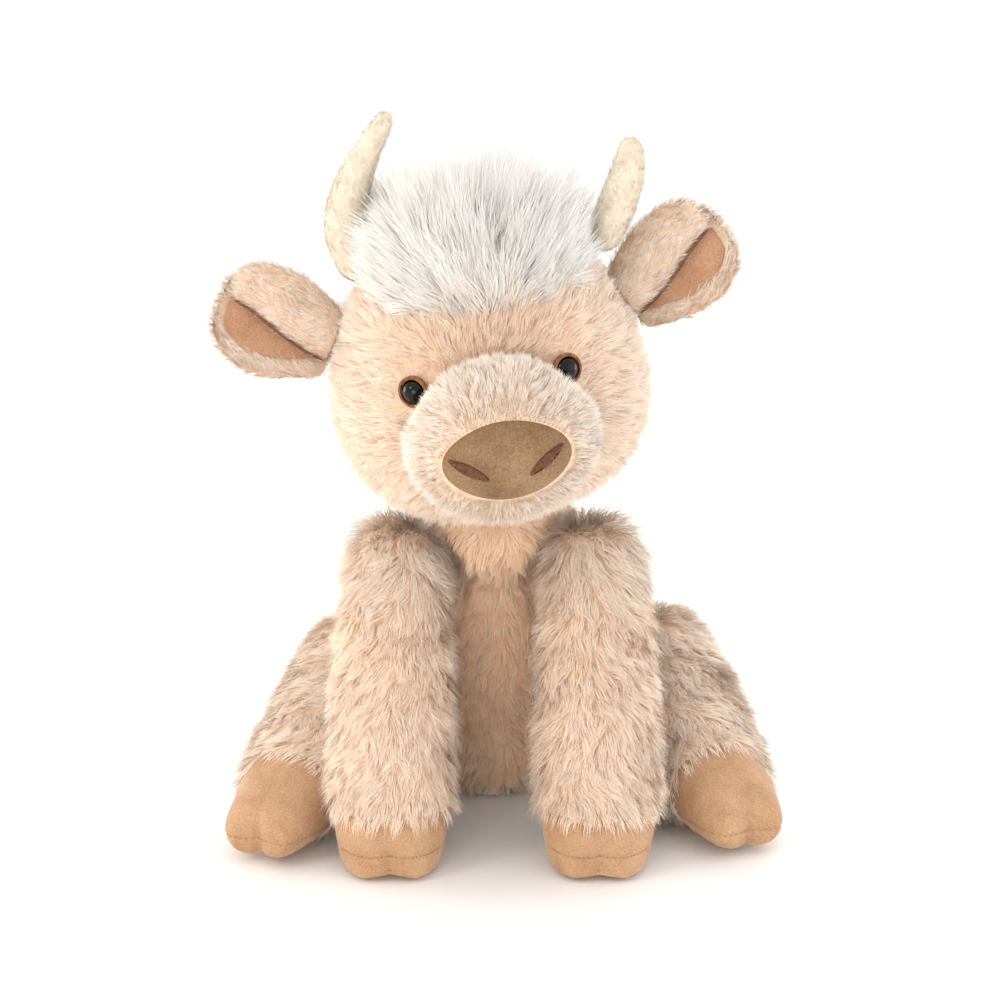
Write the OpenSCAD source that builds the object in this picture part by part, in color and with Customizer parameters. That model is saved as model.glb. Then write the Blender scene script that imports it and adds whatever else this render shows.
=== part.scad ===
// Sitting plush highland calf: sewn panels over stuffing, jointed at neck, ears, legs and tail.
// The toy faces -Y and rests on z = 0. Left and right are the toy's own, so its left is +X.

/* [Cloth] */
// Thickness of the plush cloth with its flattened pile
cloth = 1.8; // [1.2:0.1:3]
// Space between sewn pieces that move past each other
play = 0.9; // [0.5:0.1:1.5]

/* [Torso] */
// Height of the stuffed torso up to the shoulders
torso_h = 127; // [120:1:130]
// Turn of the torso about the vertical, towards the toy's left
torso_turn = 4; // [0:1:8]
// Height of the seam between the seat panel and the side panels
seat_seam_z = 9; // [6:1:14]
// Width of the chest panel between its two seams
chest_w = 46; // [36:1:52]

/* [Head] */
// Height of the neck pivot, the centre of the neck ball
neck_z = 121; // [118:1:124]
// Radius of the neck ball
neck_r = 28; // [24:1:30]
// Height of the middle of the head
head_z = 190; // [188:1:194]
// Sideways tilt of the head
head_roll = 8; // [0:1:12]
// Turn of the head towards the toy's left
head_turn = 3; // [0:1:6]
// Width of the centre gusset that runs over the head
gusset_w = 36; // [30:1:40]
// Distance from the head's middle line to each eye
eye_x = 28; // [25:0.5:31]
// Diameter of the glossy eye dome
eye_d = 9.6; // [8:0.2:11]
// Outer diameter of the brown rim around the eye
eye_rim_d = 12; // [11:0.2:13]

/* [Ears and horns] */
// Length of an ear from its seam to its tip
ear_len = 47; // [40:1:50]
// Greatest width of an ear
ear_w = 45; // [36:1:48]
// Distance from the head's middle line to each horn's seam
horn_x = 45; // [42:1:47]

/* [Legs] */
// Width of a front leg at its hem
front_leg_w = 49; // [42:1:51]
// Height of a front leg from the floor to the top of the shoulder
front_leg_h = 124; // [116:1:125]
// Height of the hem where the fur of a front leg meets its foot
front_hem = 24; // [18:1:30]
// Length of a hind leg from the hip pivot to the toe
hind_leg_len = 92; // [86:1:96]
// Length of the foot on a hind leg
hind_foot_len = 33; // [26:1:40]
// Outward angle of the left hind leg
hind_splay_left = 20; // [16:1:24]
// Outward angle of the right hind leg
hind_splay_right = 22; // [18:1:24]
// Height of the seam between the upper and the sole of every foot
sole_seam = 11; // [8:1:14]

/* [Tail] */
// Length of the tail, with its tuft
tail_len = 55; // [45:1:60]

/* [Hidden] */

// Cloth colours
fur = "#EFDFD0";
long_fur = "#F4EFE8";
tan = "#DBB388";
nose_tan = "#BC9C7C";
stitch_brown = "#9C5A34";
stuffing = "#F7F7F7";

left = 1;
right = -1;
socket_fn = 20; // facets round the balls and sockets of the soft joints
seam = 0.05; // air left between two panels that share a seam
big = 400;
// Shift that puts the middle of the toy's footprint over the origin
middle = [-1.6, -14.2, 0];

neck = [-3, 0, neck_z];
head_at = [-6, -18, head_z];
muzzle_at = [1, -40, -18];
nose_at = [1.5, -21.5];
eye_at = [eye_x, -46.4, 1];
ear_root = [56, 4, 11];
ear_rise = 30;
ear_cup = 28;
shoulder_r = 27.4;
hip_r = 28;
hip_tall = 1.42; // a hip is taller than it is wide
hind_panel_seam = 30; // height of the seam between the two panels of a hind leg
chest_back = 12; // how far back the chest panel reaches
pellet_top = 26; // top of the pellet bag in the seat
eye_stem_d = 3.4;
eye_washer_d = 13;
eye_washer_z = -9.2; // back of the washer, behind the cloth
tail_root = [-6, 83, 46];
tail_r = 5.5;
tail_drop = 128; // angle of the tail from straight up

function shoulder(side) = [side > 0 ? 37.5 : -40.9, -14, 98];
function hip(side) = side > 0 ? [66, 27, 34] : [-60, 18, 34];
function splay(side) = side > 0 ? hind_splay_left : -hind_splay_right;

// Point at fraction t of the way through a list of stations, on a smooth curve
function spline(p, t) =
    let (n = len(p) - 1, k = min(floor(t * n), n - 1), f = t * n - k)
    let (a = p[max(k - 1, 0)], b = p[k], c = p[k + 1], d = p[min(k + 2, n)])
    0.5 * (2 * b + (c - a) * f + (2 * a - 5 * b + 4 * c - d) * f * f + (3 * b - a - 3 * c + d) * f * f * f);

// One closed mesh of all its children, for soft pieces that need no true curves
module soft() {
    minkowski() {
        union() children();
    }
}

// A stuffed form with rounded ends. Each station is [x, y, half width, half depth], spaced evenly
// from z = 0 to z = length, and inset draws the same form smaller by that much all round.
module stuffed(stations, length, inset = 0, around = 20, along = 12, blunt = 0.36) {
    rings = [for (j = [1:along - 1])
        let (v = 180 * j / along - 90, t = (sin(v) + 1) / 2, s = spline(stations, t), k = pow(cos(v), blunt))
        let (rx = (s[2] - inset) * k, ry = (s[3] - inset) * k, z = inset + (length - 2 * inset) * t)
        [for (i = [0:around - 1])
            let (a = 360 * i / around)
            [s[0] + rx * cos(a), s[1] + ry * sin(a), z]]];
    first = stations[0];
    last = stations[len(stations) - 1];
    top = 1 + around * (along - 1);
    points = concat([[first[0], first[1], inset]], [for (r = rings) each r], [[last[0], last[1], length - inset]]);
    sides = [for (j = [0:along - 3], i = [0:around - 1])
        let (a = 1 + j * around + i, b = 1 + j * around + (i + 1) % around)
        each [[a, a + around, b + around], [a, b + around, b]]];
    ends = [for (i = [0:around - 1])
        let (i2 = (i + 1) % around)
        each [[0, 1 + i, 1 + i2], [top, top - around + i2, top - around + i]]];
    polyhedron(points, concat(ends, sides), convexity = 4);
}

module ellipsoid(at, radii) {
    translate(at)
        scale(radii)
            sphere(r = 1, $fn = 24);
}

module above(z) {
    translate([-big / 2, -big / 2, z])
        cube(big);
}

// Everything on one side of the plane x = offset
module side_of(side, offset = 0) {
    translate([side > 0 ? offset : -big - offset, -big / 2, -big / 2])
        cube(big);
}

module placed() {
    translate(middle)
        children();
}

module on_head() {
    placed()
        translate(head_at)
            rotate([0, -head_roll, head_turn])
                children();
}

// ---- Torso ----

module hip_socket(side, grow) {
    translate(hip(side))
        scale([1, 1, hip_tall])
            sphere(r = hip_r + play + grow, $fn = socket_fn);
}

module shoulder_socket(side, grow) {
    translate(shoulder(side))
        sphere(r = shoulder_r + play + 0.4 + grow, $fn = socket_fn);
}

module torso_form(inset) {
    stations = [[0, 42, 53, 44], [0, 42, 56, 47], [0, 38, 54, 45], [0, 31, 50, 41], [0, 22, 46, 37],
        [-2, 10, 43, 32]];
    difference() {
        intersection() {
            union() {
                translate([0, 0, -16])
                    rotate([0, 0, torso_turn])
                        stuffed(stations, torso_h + 16, inset, along = 11, blunt = 0.45);
                translate(neck)
                    sphere(r = neck_r - inset, $fn = socket_fn);
            }
            above(inset);
        }
        for (side = [left, right]) {
            hip_socket(side, inset);
            shoulder_socket(side, inset);
        }
        translate(tail_root)
            sphere(r = tail_r + play + inset, $fn = 16);
    }
}

module torso_cloth() {
    difference() {
        torso_form(0);
        torso_form(cloth);
    }
}

module chest_cut(grow) {
    rotate([0, 0, torso_turn])
        translate([-chest_w / 2 - grow, chest_back - big, seat_seam_z - grow])
            cube([chest_w + 2 * grow, big, big]);
}

module torso_side_panel(side) {
    color(fur)
        placed()
            soft()
                difference() {
                    intersection() {
                        torso_cloth();
                        above(seat_seam_z + seam);
                        rotate([0, 0, torso_turn])
                            side_of(side, side * seam);
                    }
                    chest_cut(seam);
                }
}

module chest_panel() {
    color(fur)
        placed()
            soft()
                intersection() {
                    torso_cloth();
                    chest_cut(0);
                }
}

module seat_panel() {
    color(fur)
        placed()
            soft()
                difference() {
                    torso_cloth();
                    above(seat_seam_z);
                }
}

module torso_filling() {
    color(stuffing)
        placed()
            soft()
                intersection() {
                    torso_form(cloth + seam);
                    above(pellet_top + seam);
                }
}

module pellet_bag() {
    color("#E9E4DA")
        placed()
            soft()
                difference() {
                    torso_form(cloth + seam);
                    above(pellet_top);
                }
}

// The cloth cap between the neck ball and the socket in the head
module neck_gusset() {
    color(fur)
        placed()
            translate(neck)
                rotate_extrude($fn = 48)
                    intersection() {
                        difference() {
                            circle(r = neck_r + play + 1.2, $fn = 64);
                            circle(r = neck_r + play, $fn = 64);
                        }
                        translate([6, 9])
                            square(neck_r * 2);
                    }
}

// ---- Head ----

module skull(inset) {
    stations = [[0, -2, 55, 43], [0, -2, 62, 51], [0, 0, 59, 52], [0, 2, 51, 48], [0, 4, 42, 40]];
    translate([0, 0, -59])
        stuffed(stations, 114, inset, around = 22, along = 11, blunt = 0.44);
}

module head_form(inset) {
    difference() {
        skull(inset);
        muzzle_form(-seam - inset);
        rotate([0, head_roll, 0])
            rotate([0, 0, -head_turn])
                translate(neck - head_at)
                    sphere(r = neck_r + 2 * play + 1.4 + inset, $fn = socket_fn);
    }
}

module head_cloth() {
    difference() {
        head_form(0);
        head_form(cloth);
        for (side = [left, right])
            at_eye(side) {
                stem_hole();
                rim_recess();
            }
    }
}

module gusset_cut(side, grow) {
    translate([-gusset_w / 2 - grow, side > 0 ? grow : -big - grow, -big / 2])
        cube([gusset_w + 2 * grow, big, big]);
}

module head_side_panel(side) {
    color(fur)
        on_head()
            soft()
                intersection() {
                    head_cloth();
                    side_of(side, gusset_w / 2 + seam);
                }
}

module face_gusset() {
    color(fur)
        on_head()
            soft()
                intersection() {
                    head_cloth();
                    gusset_cut(-1, 0);
                }
}

module head_back_panel() {
    color(fur)
        on_head()
            soft()
                intersection() {
                    head_cloth();
                    gusset_cut(1, 0);
                }
}

module head_filling() {
    color(stuffing)
        on_head()
            soft()
                difference() {
                    head_form(cloth + seam);
                    for (side = [left, right])
                        at_eye(side) {
                            stem_hole();
                            translate([0, 0, eye_washer_z - 0.4])
                                cylinder(d = eye_washer_d + 0.4, h = 2.6, $fn = 20);
                        }
                }
}

// Cuts the muzzle open where it is sewn to the face
module behind_muzzle() {
    translate([-big / 2, muzzle_at[1] - 3, -big / 2])
        cube(big);
}

// The muzzle is a soft dome that points forwards
module muzzle_form(inset) {
    stations = [[0, 0, 33, 27], [0, 0, 35, 29], [0, 0, 35.5, 30], [0, 0, 33, 28], [0, 0, 27, 23]];
    translate(muzzle_at)
        rotate([90, 0, 0])
            stuffed(stations, 40, inset, around = 22, along = 9, blunt = 0.5);
}

module muzzle_panel() {
    color(fur)
        on_head()
            soft()
                difference() {
                    muzzle_form(0);
                    muzzle_form(cloth);
                    behind_muzzle();
                    for (side = [left, right])
                        at_eye(side)
                            rim_recess();
                }
}

module muzzle_filling() {
    color(stuffing)
        on_head()
            soft()
                difference() {
                    muzzle_form(cloth + seam);
                    behind_muzzle();
                }
}

// An oval bar that runs forwards through the muzzle, to cut the nose patch and the nostrils out
module oval_bar(x, z, w, h, slant) {
    translate([x, -big / 2, z])
        rotate([-90, 0, 0])
            rotate([0, 0, slant])
                scale([w / 2, h / 2, 1])
                    cylinder(r = 1, h = big / 2 - 50, $fn = 32);
}

module nose_patch() {
    color(nose_tan)
        on_head()
            soft()
                difference() {
                    intersection() {
                        muzzle_form(-1);
                        oval_bar(nose_at[0], nose_at[1], 48, 29, 0);
                    }
                    muzzle_form(-seam);
                }
}

module nostril(side) {
    color(stitch_brown)
        on_head()
            soft()
                difference() {
                    intersection() {
                        muzzle_form(-1.9);
                        oval_bar(nose_at[0] + side * 13.5, nose_at[1] - 1, 15, 3.6, side * -35);
                    }
                    muzzle_form(-1 - seam);
                }
}

module forelock() {
    color(long_fur)
        on_head()
            soft()
                difference() {
                    union() {
                        ellipsoid([4, -8, 44], [46, 44, 38]);
                        ellipsoid([0, -20, 36], [40, 38, 30]);
                    }
                    skull(-0.4);
                    for (side = [left, right])
                        horn_form(side, -0.4);
                    translate([0, 0, -big + 16])
                        above(-big);
                }
}

// A horn leans out from its seam and then curves, each to its own side as it was sewn
module horn_form(side, inset) {
    lean = side == left
        ? [[0, 0, 7, 7], [4, 0, 7.4, 7.2], [9, 0, 6.8, 6.6], [13, 0, 5.6, 5.4], [15, 0, 4.4, 4.4]]
        : [[0, 0, 6.8, 6.8], [-2, 0, 7.2, 7], [1, 0, 6.9, 6.7], [9, 0, 5.8, 5.6], [20, 0, 4, 4]];
    root = side == left ? [horn_x + 5, 0, 34] : [-horn_x + 2, 2, 36];
    translate(root)
        stuffed(lean, side == left ? 39 : 60, inset, around = 16, along = 12, blunt = 0.45);
}

module horn(side) {
    color("#F3EADB")
        on_head()
            soft()
                difference() {
                    horn_form(side, 0);
                    skull(-0.2);
                }
}

// ---- Eyes ----

// Puts z = 0 on the face at the eye, with z pointing out of the head
module at_eye(side) {
    translate([side * eye_at[0], eye_at[1], eye_at[2]])
        rotate([90, 0, side * 27])
            children();
}

module stem_hole() {
    translate([0, 0, -16])
        cylinder(d = eye_stem_d + 0.6, h = 30, $fn = 16);
}

module rim_recess() {
    translate([0, 0, -0.8])
        cylinder(d = eye_rim_d + 0.4, h = 12, $fn = 24);
}

module eye_dome(side) {
    color("#0B0908")
        on_head()
            at_eye(side)
                rotate_extrude($fn = 48)
                    intersection() {
                        translate([0, -1.4])
                            scale([1, 0.95])
                                circle(d = eye_d, $fn = 48);
                        square([eye_d, eye_d]);
                    }
}

module eye_rim(side) {
    color("#7A4A22")
        on_head()
            at_eye(side)
                rotate_extrude($fn = 48)
                    polygon([[eye_stem_d / 2 + 0.1, -0.7], [eye_rim_d / 2, -0.7], [eye_rim_d / 2, 0.5],
                        [eye_rim_d / 2 - 0.5, 1.1], [eye_d / 2 + 0.05, 1], [eye_d / 2 + 0.05, -0.05],
                        [eye_stem_d / 2 + 0.1, -0.05]]);
}

// Ribbed stem that passes through the cloth into the washer
module eye_stem(side) {
    color("#0B0908")
        on_head()
            at_eye(side) {
                translate([0, 0, -14])
                    cylinder(d = eye_stem_d, h = 13.95, $fn = 24);
            }
}

module eye_washer(side) {
    color("#F4F4F0")
        on_head()
            at_eye(side)
                translate([0, 0, eye_washer_z])
                    difference() {
                        cylinder(d = eye_washer_d, h = 1.6, $fn = 48);
                        translate([0, 0, -1])
                            cylinder(d = eye_stem_d + 0.1, h = 4, $fn = 24);
                    }
}

// ---- Ears ----

// Puts z along the ear from its seam to its tip, x across its width and -y out of its open face
module at_ear(side) {
    on_head()
        translate([side * ear_root[0], ear_root[1], ear_root[2]])
            rotate([0, side * (90 - ear_rise), 0])
                rotate([0, 0, side > 0 ? 0 : 180])
                    rotate([0, 0, side * -ear_cup])
                        children();
}

module ear_form(thick, trim) {
    w = ear_w / 2 - trim;
    stations = [[0, 0, w * 0.62, thick], [0, 0, w * 0.84, thick], [0, 0, w, thick], [0, 0, w * 0.98, thick],
        [0, 0, w * 0.7, thick]];
    translate([0, 0, trim])
        stuffed(stations, ear_len - 2 * trim, 0, around = 18, along = 10, blunt = 0.6);
}

module ear_back(side) {
    color(fur)
        at_ear(side)
            soft()
                intersection() {
                    ear_form(4.2, 0);
                    translate([-big / 2, side > 0 ? seam : -big - seam, -big / 2])
                        cube(big);
                }
}

module ear_lining(side) {
    color(tan)
        at_ear(side)
            soft()
                difference() {
                    ear_form(2.6, 2.5);
                    translate([-big / 2, side > 0 ? 0 : -big, -big / 2])
                        cube(big);
                }
}

// ---- Front legs ----

module front_leg_form(side, inset) {
    w = front_leg_w / 2;
    foot_x = side > 0 ? 38 : 42.4;
    stations = [[-0.6, -63, w + 2, 24], [-0.6, -61, w + 1.5, 25], [-0.5, -50, w - 0.5, 23.5], [-1, -38, w - 1.5, 23],
        [-1.5, -26, w - 2.5, 22], [-1.5, -15, w - 3.5, 20]];
    intersection() {
        translate([side * foot_x, 0, -8])
            scale([side, 1, 1])
                stuffed(stations, front_leg_h + 8, inset, around = 18, along = 13);
        above(inset);
    }
}

module front_leg_cloth(side) {
    difference() {
        front_leg_form(side, 0);
        front_leg_form(side, cloth);
    }
}

// The hem drops towards the heel and cuts the fur sleeve from the foot
module front_hem_cut(grow) {
    translate([0, -60, front_hem + grow])
        rotate([-6, 0, 0])
            above(0);
}

module front_leg_panel(side, face) {
    color(fur)
        placed()
            soft()
                intersection() {
                    front_leg_cloth(side);
                    front_hem_cut(seam);
                    translate([shoulder(side)[0], 0, 0])
                        side_of(face, seam);
                }
}

module front_foot_upper(side) {
    color(tan)
        placed()
            soft()
                difference() {
                    intersection() {
                        front_leg_cloth(side);
                        above(sole_seam + seam);
                    }
                    front_hem_cut(0);
                }
}

module front_foot_sole(side) {
    color(tan)
        placed()
            soft()
                difference() {
                    front_leg_cloth(side);
                    above(sole_seam);
                }
}

module front_leg_filling(side) {
    color(stuffing)
        placed()
            soft()
                front_leg_form(side, cloth + seam);
}

// ---- Hind legs ----

// Puts z along the leg from the hip to the toe, x outwards and y upwards, with the floor at y = 0
module at_hip(side) {
    placed()
        translate([hip(side)[0], hip(side)[1], 0])
            rotate([0, 0, splay(side)])
                rotate([90, 0, 0])
                    children();
}

module hind_leg_form(inset) {
    stations = [[0, 34, 28, 36], [0, 34, 28, 36], [0, 31, 27, 33], [0, 23, 25, 26], [0, 16, 23.5, 19],
        [0, 12, 22.5, 16]];
    intersection() {
        union() {
            intersection() {
                translate([0, 0, -hip_r])
                    stuffed(stations, hind_leg_len + hip_r, inset, around = 18, along = 13);
                above(0);
            }
            translate([0, 34, 0])
                scale([hip_r - inset, hip_r * hip_tall - inset, hip_r - inset])
                    rotate([90, 0, 0])
                        sphere(r = 1, $fn = socket_fn);
        }
        translate([-big / 2, inset, -big / 2])
            cube(big);
    }
}

module hind_leg_cloth() {
    difference() {
        hind_leg_form(0);
        hind_leg_form(cloth);
    }
}

module hind_hem_cut(grow) {
    translate([-big / 2, -big / 2, hind_leg_len - hind_foot_len + grow])
        cube(big);
}

module sole_cut(grow) {
    translate([-big / 2, sole_seam + grow, -big / 2])
        cube(big);
}

module hind_leg_panel(side, upper) {
    color(fur)
        at_hip(side)
            soft()
                difference() {
                    hind_leg_cloth();
                    hind_hem_cut(-seam);
                    if (upper)
                        translate([-big / 2, hind_panel_seam - big, -big / 2])
                            cube(big);
                    else
                        translate([-big / 2, hind_panel_seam - seam, -big / 2])
                            cube(big);
                }
}

module hind_foot_upper(side) {
    color(tan)
        at_hip(side)
            soft()
                intersection() {
                    hind_leg_cloth();
                    hind_hem_cut(0);
                    sole_cut(seam);
                }
}

module hind_foot_sole(side) {
    color(tan)
        at_hip(side)
            soft()
                difference() {
                    intersection() {
                        hind_leg_cloth();
                        hind_hem_cut(0);
                    }
                    sole_cut(0);
                }
}

module hind_leg_filling(side) {
    color(stuffing)
        at_hip(side)
            soft()
                hind_leg_form(cloth + seam);
}

// ---- Tail ----

module at_tail() {
    placed()
        translate(tail_root)
            rotate([-tail_drop, 0, torso_turn])
                children();
}

module tail_sleeve() {
    color(fur)
        at_tail()
            soft()
                translate([0, 0, -tail_r])
                    stuffed([[0, 0, 5.5, 5.5], [0, 0, 4.6, 4.6], [0, 0, 4.2, 4.2]], tail_len * 0.55 + tail_r, 0,
                        around = 14, along = 10);
}

module tail_tuft() {
    color(long_fur)
        at_tail()
            soft()
                translate([0, 0, tail_len * 0.55 + seam])
                    stuffed([[0, 0, 6, 6], [0, 0, 9, 8], [0, 0, 5, 5]], tail_len * 0.45, 0, around = 14, along = 8);
}

torso_side_panel(left);  // torso_left_panel
torso_side_panel(right);  // torso_right_panel
chest_panel();
seat_panel();
torso_filling();
pellet_bag();
neck_gusset();
head_side_panel(left);  // head_left_panel
head_side_panel(right);  // head_right_panel
face_gusset();
head_back_panel();
head_filling();
muzzle_panel();
muzzle_filling();
nose_patch();
nostril(left);  // nostril_left
nostril(right);  // nostril_right
forelock();
horn(left);  // horn_left
horn(right);  // horn_right
eye_dome(left);  // eye_left_dome
eye_rim(left);  // eye_left_rim
eye_stem(left);  // eye_left_stem
eye_washer(left);  // eye_left_washer
eye_dome(right);  // eye_right_dome
eye_rim(right);  // eye_right_rim
eye_stem(right);  // eye_right_stem
eye_washer(right);  // eye_right_washer
ear_back(left);  // ear_left_back
ear_lining(left);  // ear_left_lining
ear_back(right);  // ear_right_back
ear_lining(right);  // ear_right_lining
front_leg_panel(left, left);  // front_leg_left_outer_panel
front_leg_panel(left, right);  // front_leg_left_inner_panel
front_foot_upper(left);  // front_foot_left_upper
front_foot_sole(left);  // front_foot_left_sole
front_leg_filling(left);  // front_leg_left_filling
front_leg_panel(right, right);  // front_leg_right_outer_panel
front_leg_panel(right, left);  // front_leg_right_inner_panel
front_foot_upper(right);  // front_foot_right_upper
front_foot_sole(right);  // front_foot_right_sole
front_leg_filling(right);  // front_leg_right_filling
hind_leg_panel(left, true);  // hind_leg_left_upper_panel
hind_leg_panel(left, false);  // hind_leg_left_lower_panel
hind_foot_upper(left);  // hind_foot_left_upper
hind_foot_sole(left);  // hind_foot_left_sole
hind_leg_filling(left);  // hind_leg_left_filling
hind_leg_panel(right, true);  // hind_leg_right_upper_panel
hind_leg_panel(right, false);  // hind_leg_right_lower_panel
hind_foot_upper(right);  // hind_foot_right_upper
hind_foot_sole(right);  // hind_foot_right_sole
hind_leg_filling(right);  // hind_leg_right_filling
tail_sleeve();
tail_tuft();
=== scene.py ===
"""Looks of the sitting plush calf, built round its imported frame."""
import math

import bmesh
import bpy
import numpy as np
from mathutils import Matrix, Vector
from mathutils.bvhtree import BVHTree
from mathutils.kdtree import KDTree


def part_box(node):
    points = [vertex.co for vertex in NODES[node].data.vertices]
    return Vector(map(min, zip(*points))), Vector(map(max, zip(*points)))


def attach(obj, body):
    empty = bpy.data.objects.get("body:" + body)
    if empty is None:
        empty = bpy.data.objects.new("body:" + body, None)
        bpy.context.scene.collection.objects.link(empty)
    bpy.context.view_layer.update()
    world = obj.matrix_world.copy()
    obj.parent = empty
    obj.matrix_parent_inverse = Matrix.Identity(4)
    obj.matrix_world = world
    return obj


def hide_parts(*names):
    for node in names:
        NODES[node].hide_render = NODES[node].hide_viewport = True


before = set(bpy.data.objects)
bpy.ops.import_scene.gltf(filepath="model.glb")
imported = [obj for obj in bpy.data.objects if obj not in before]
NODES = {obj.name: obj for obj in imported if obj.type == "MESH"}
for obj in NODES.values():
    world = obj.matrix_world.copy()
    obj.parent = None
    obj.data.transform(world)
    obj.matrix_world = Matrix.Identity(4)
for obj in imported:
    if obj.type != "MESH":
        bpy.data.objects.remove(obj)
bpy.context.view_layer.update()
MM = 0.001

# The calf's own frames, as part.scad sets them, in millimetres
MIDDLE = np.array([-1.6, -14.2, 0.0])
HEAD_AT = np.array([-6.0, -18.0, 190.0]) + MIDDLE
HEAD_ROLL, HEAD_TURN = 8.0, 3.0
EAR_ROOT = (56.0, 4.0, 11.0)
EAR_RISE, EAR_CUP, EAR_LEN, EAR_W = 30.0, 28.0, 47.0, 45.0
EYE_AT = (28.0, -46.4, 1.0)
MUZZLE_AT = np.array([1.0, -40.0, -18.0])
NOSE_AT = (1.5, -21.5)
FOOT_SEAM = 11.0
FRONT_HEM, HIND_HEM = 24.0, 59.0
HIPS = {"left": (66.0, 27.0, 20.0), "right": (-60.0, 18.0, -22.0)}
SIDES = {"left": 1, "right": -1}


def turn(axis, degrees):
    return np.array(Matrix.Rotation(math.radians(degrees), 3, axis))


HEAD_R = turn("Z", HEAD_TURN) @ turn("Y", -HEAD_ROLL)


def to_head(p):
    """Row-frame metres to head-frame millimetres."""
    return (np.asarray(p) / MM - HEAD_AT) @ HEAD_R


def from_head(p):
    return (np.asarray(p) @ HEAD_R.T + HEAD_AT) * MM


# ---- Camera, light and floor ----

LOOK = np.array([MIDDLE[0], MIDDLE[1] - 40.0, 139.0])
CAMERA_RISE, CAMERA_FAR = 16.0, 890.0


def aim(obj, at, target):
    obj.location = Vector(at)
    obj.rotation_euler = (Vector(target) - Vector(at)).to_track_quat("-Z", "Y").to_euler()


def make_camera():
    rise = math.radians(CAMERA_RISE)
    at = LOOK + CAMERA_FAR * np.array([0.0, -math.cos(rise), math.sin(rise)])
    camera = bpy.data.objects.new("camera", bpy.data.cameras.new("camera"))
    bpy.context.collection.objects.link(camera)
    camera.data.lens = 85
    camera.data.sensor_width = 36
    camera.data.clip_start = 0.02
    aim(camera, at * MM, LOOK * MM)
    bpy.context.scene.camera = camera


def area_light(name, at, target, size, power, colour):
    data = bpy.data.lights.new(name, "AREA")
    data.shape = "DISK"
    data.size = size
    data.energy = power
    data.color = colour
    lamp = bpy.data.objects.new(name, data)
    bpy.context.collection.objects.link(lamp)
    aim(lamp, at, target)


def make_lights():
    bpy.context.scene.view_settings.view_transform = "Standard"
    world = bpy.data.worlds.new("studio")
    bpy.context.scene.world = world
    world.use_nodes = True
    sky = world.node_tree.nodes["Background"]
    sky.inputs["Color"].default_value = (1.0, 0.99, 0.98, 1)
    sky.inputs["Strength"].default_value = 1.12
    middle = (0, 0, 0.15)
    area_light("key", (-0.85, -0.75, 0.85), middle, 0.35, 2.4, (1.0, 0.90, 0.78))
    area_light("fill", (0.95, -0.6, 0.5), middle, 0.9, 1.4, (0.88, 0.94, 1.0))
    area_light("rim", (0.35, 0.95, 0.75), middle, 0.8, 3.5, (0.95, 0.98, 1.0))
    area_light("top", (-0.1, -0.1, 1.3), middle, 0.9, 0.6, (1.0, 0.98, 0.95))
    area_light("low", (-0.35, -1.15, 0.16), (0, 0, 0.06), 0.7, 4.0, (1.0, 0.92, 0.83))
    area_light("side_left", (1.15, 0.25, 0.22), (0, 0, 0.05), 0.6, 2.6, (0.97, 0.98, 1.0))
    area_light("side_right", (-1.15, 0.25, 0.22), (0, 0, 0.05), 0.6, 5.0, (1.0, 0.97, 0.92))


# ---- Materials ----


def new_material(name, colour, roughness, sheen=0.0, sheen_tint=(1, 1, 1, 1)):
    m = bpy.data.materials.new(name)
    m.use_nodes = True
    m.diffuse_color = (*colour, 1)
    b = m.node_tree.nodes["Principled BSDF"]
    b.inputs["Base Color"].default_value = (*colour, 1)
    b.inputs["Roughness"].default_value = roughness
    b.inputs["Sheen Weight"].default_value = sheen
    b.inputs["Sheen Roughness"].default_value = 0.4
    b.inputs["Sheen Tint"].default_value = sheen_tint
    b.inputs["Specular IOR Level"].default_value = 0.2
    return m


def noise(m, scale, detail=3.0, rough=0.55, stretch=None):
    """A noise texture in the piece's own coordinates, in metres."""
    nt = m.node_tree
    place = nt.nodes.new("ShaderNodeTexCoord")
    n = nt.nodes.new("ShaderNodeTexNoise")
    n.inputs["Scale"].default_value = scale
    n.inputs["Detail"].default_value = detail
    n.inputs["Roughness"].default_value = rough
    if stretch is None:
        nt.links.new(place.outputs["Object"], n.inputs["Vector"])
    else:
        mapping = nt.nodes.new("ShaderNodeMapping")
        mapping.inputs["Scale"].default_value = stretch
        nt.links.new(place.outputs["Object"], mapping.inputs["Vector"])
        nt.links.new(mapping.outputs["Vector"], n.inputs["Vector"])
    return n


def ramp(m, source, stops, socket="Base Color"):
    nt = m.node_tree
    r = nt.nodes.new("ShaderNodeValToRGB")
    r.color_ramp.elements[0].position, r.color_ramp.elements[0].color = stops[0][0], (*stops[0][1], 1)
    r.color_ramp.elements[1].position, r.color_ramp.elements[1].color = stops[-1][0], (*stops[-1][1], 1)
    for at, colour in stops[1:-1]:
        e = r.color_ramp.elements.new(at)
        e.color = (*colour, 1)
    nt.links.new(source.outputs[0], r.inputs["Fac"])
    nt.links.new(r.outputs["Color"], nt.nodes["Principled BSDF"].inputs[socket])
    return r


def bump(m, source, strength, distance):
    nt = m.node_tree
    b = nt.nodes.new("ShaderNodeBump")
    b.inputs["Strength"].default_value = strength
    b.inputs["Distance"].default_value = distance
    nt.links.new(source.outputs[0], b.inputs["Height"])
    nt.links.new(b.outputs["Normal"], nt.nodes["Principled BSDF"].inputs["Normal"])


def rough_by(m, source, low, high):
    nt = m.node_tree
    r = nt.nodes.new("ShaderNodeMapRange")
    r.inputs["To Min"].default_value = low
    r.inputs["To Max"].default_value = high
    nt.links.new(source.outputs[0], r.inputs["Value"])
    nt.links.new(r.outputs["Result"], nt.nodes["Principled BSDF"].inputs["Roughness"])


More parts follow.
